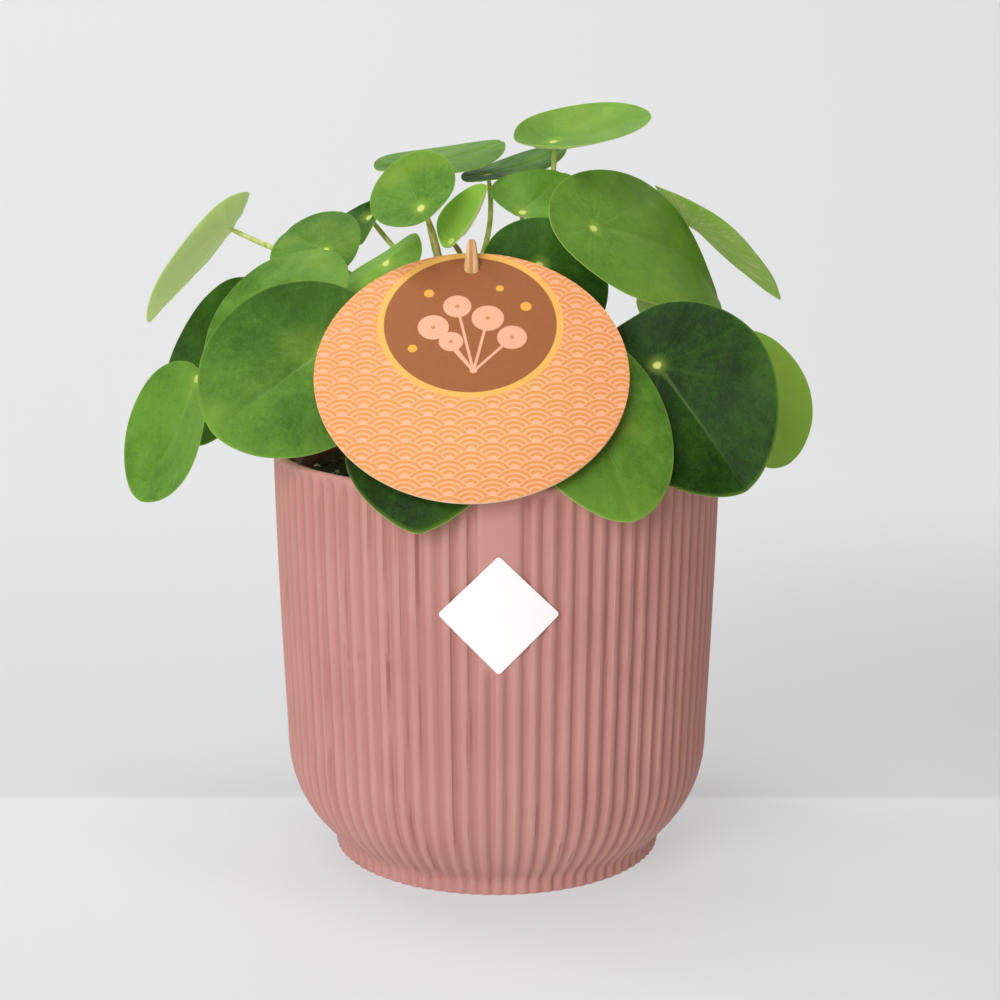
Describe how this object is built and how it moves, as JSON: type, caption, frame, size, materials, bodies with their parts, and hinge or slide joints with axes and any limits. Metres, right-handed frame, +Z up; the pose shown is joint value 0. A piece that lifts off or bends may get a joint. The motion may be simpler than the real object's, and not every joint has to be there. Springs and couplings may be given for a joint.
{
  "type": "potted chinese money plant",
  "caption": "Round-leaved house plant in soil in a nursery pot inside a vertically ribbed cover pot, with a round card on a wooden stick.",
  "frame": {"origin": "middle of the cover pot's flat underside", "axes": "+Z up along the pot's axis, -Y towards the front, where the card and the blank label are"},
  "size_m": [0.2215, 0.1563, 0.2348],
  "materials": {
    "pot_plastic": "dusty pink, satin",
    "label_paper": "white, blank, smooth",
    "nursery_plastic": "red-brown, matte",
    "potting_soil": "dark and crumbly, with pale grains",
    "stem_green": "yellow-green above, brown and scarred on the trunk",
    "leaf": "smooth, faintly waxy green",
    "young_leaf": "smooth, bright yellow-green",
    "tag_card": "printed peach and orange waves, satin",
    "stick_wood": "plain pale wood"
  },
  "bodies": {
    "root": {"outer_pot": "pot_plastic", "label": "label_paper", "nursery_pot": "nursery_plastic", "soil": "potting_soil", "stem": "stem_green", "leaf_left_large": "leaf", "leaf_right_large": "leaf", "leaf_right_front": "leaf", "leaf_right_behind": "leaf", "leaf_right_upper": "leaf", "leaf_right_high": "leaf", "leaf_mid_right": "leaf", "leaf_centre_dark": "leaf", "leaf_top_right": "leaf", "leaf_top_mid": "leaf", "leaf_top_back": "leaf", "leaf_young_round": "young_leaf", "leaf_young_folded": "young_leaf", "leaf_left_mid": "leaf", "leaf_left_upper": "leaf", "leaf_left_behind": "leaf", "leaf_left_low": "leaf", "leaf_left_high": "leaf", "leaf_left_inner": "leaf", "leaf_centre_small": "leaf", "leaf_front_low": "leaf", "leaf_back_left": "leaf", "leaf_back_mid": "leaf", "leaf_back_right": "leaf", "leaf_back_low": "leaf", "leaf_right_back": "leaf", "plant_tag": "tag_card", "tag_stick": "stick_wood"}
  },
  "joints": []
}
